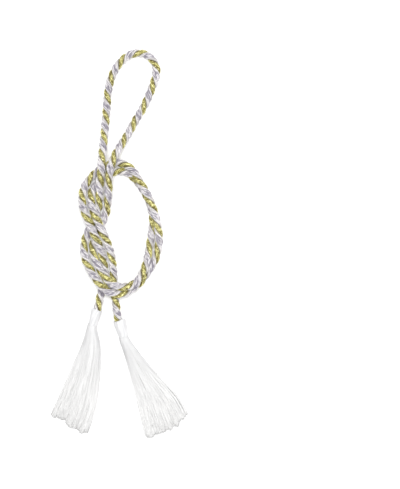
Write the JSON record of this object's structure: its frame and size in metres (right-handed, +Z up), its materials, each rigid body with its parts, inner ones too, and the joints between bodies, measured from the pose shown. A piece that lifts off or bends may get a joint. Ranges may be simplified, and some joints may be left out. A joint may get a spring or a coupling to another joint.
{
  "type": "curtain tieback tassel",
  "caption": "Twisted gold and silver-white rope, doubled and tied in an open knot with a hanging loop, a large ring and a white yarn tassel on each end.",
  "frame": {"origin": "on the floor under the middle of the tieback's outline, as it lies flat", "axes": "+Y from the tassels towards the hanging loop, +X towards the side of the knot's ring, +Z up off the floor"},
  "size_m": [0.1155, 0.3283, 0.0171],
  "materials": {
    "rope_yarn": "three twisted plies, one of glinting gold metallic yarn and two of silky silver-white yarn",
    "head_binding": "white ribbon bound tight, soft satin",
    "tassel_yarn": "fine silky white thread, soft sheen"
  },
  "bodies": {
    "root": {"rope": "rope_yarn", "cap_left": "head_binding", "cap_right": "head_binding", "tassel_left": "tassel_yarn", "tassel_right": "tassel_yarn"}
  },
  "joints": []
}
